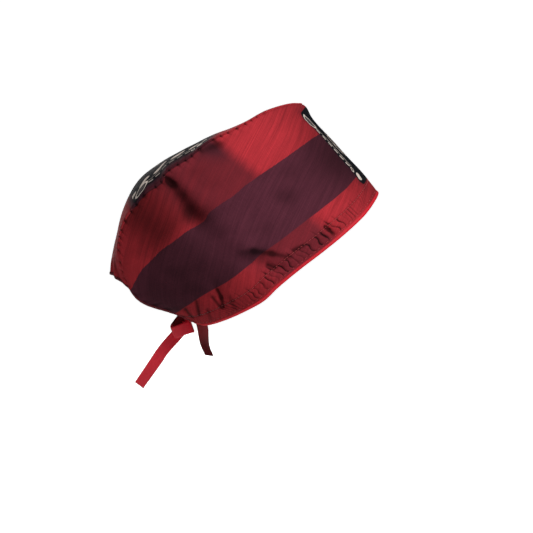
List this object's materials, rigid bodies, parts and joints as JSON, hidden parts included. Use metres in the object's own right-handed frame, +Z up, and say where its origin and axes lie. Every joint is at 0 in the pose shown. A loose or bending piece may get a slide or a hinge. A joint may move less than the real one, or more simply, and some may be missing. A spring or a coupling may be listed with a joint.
{
  "type": "tie-back surgical scrub cap",
  "caption": "Cloth tie-back surgical cap with a tall front, a long gathered crown, a bound elastic side hem and a tape bow at the nape.",
  "frame": {"origin": "middle of the head opening, halfway between forehead and nape, where the cap sits on a head", "axes": "+X towards the wearer's forehead, +Y towards the wearer's left ear, +Z up; the cap is tilted back as worn"},
  "size_m": [0.2691, 0.1664, 0.285],
  "materials": {
    "band_cloth": "plain-weave cotton print, red ground with one plum stripe, matt",
    "crown_cloth": "plain-weave cotton print, red ground, matt",
    "binding_tape": "folded cotton binding, bright red, slightly smooth",
    "channel_cloth": "cotton strip over elastic, matt",
    "tie_tape": "folded cotton tape, bright red, soft sheen"
  },
  "bodies": {
    "root": {"side_band": "band_cloth", "crown": "crown_cloth", "hem_binding": "binding_tape", "rear_binding": "binding_tape", "elastic_channel_right": "channel_cloth", "elastic_channel_left": "channel_cloth", "tie_lead_right": "tie_tape", "tie_lead_left": "tie_tape", "bow_loop_right": "tie_tape", "bow_loop_left": "tie_tape", "tie_tail_long": "tie_tape", "tie_tail_short": "tie_tape", "tie_knot": "tie_tape"}
  },
  "joints": []
}
